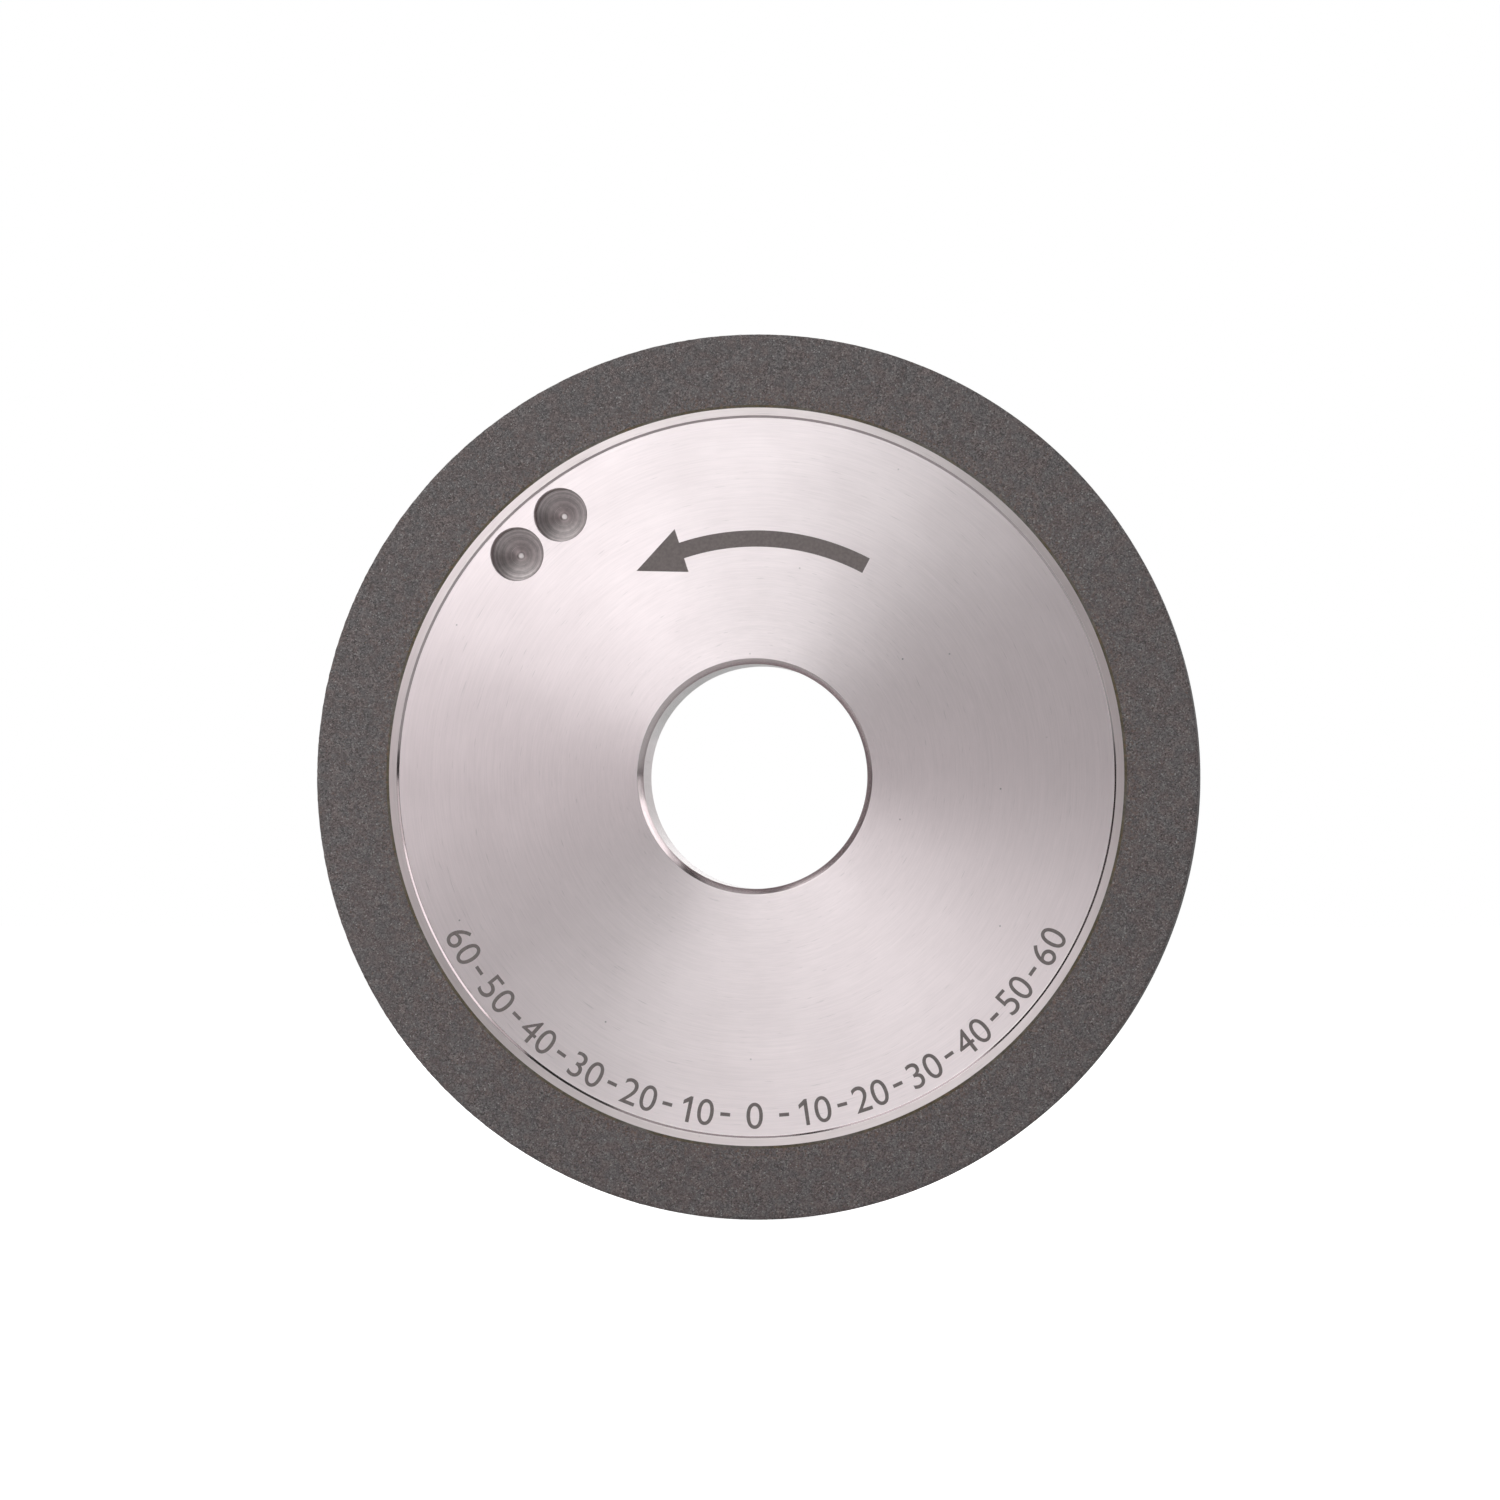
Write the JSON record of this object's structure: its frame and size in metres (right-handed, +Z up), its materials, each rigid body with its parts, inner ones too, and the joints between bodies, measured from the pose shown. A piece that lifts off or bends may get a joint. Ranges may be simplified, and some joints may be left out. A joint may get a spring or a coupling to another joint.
{
  "type": "diamond grinding wheel",
  "caption": "Straight grinding wheel with a bored, recessed metal core and a thick grey diamond rim cemented round it.",
  "frame": {"origin": "centre of the bore, halfway through the wheel's width", "axes": "the wheel turns about Y, with the marked and drilled face towards -Y; +Z is up and +X is to the right of the marked face"},
  "size_m": [0.125, 0.012, 0.125],
  "materials": {
    "core": "satin",
    "cement": "matte",
    "rim": "matte",
    "marking": "matte"
  },
  "bodies": {
    "root": {"core": "core", "cement_ring": "cement", "diamond_rim": "rim"}
  },
  "joints": []
}
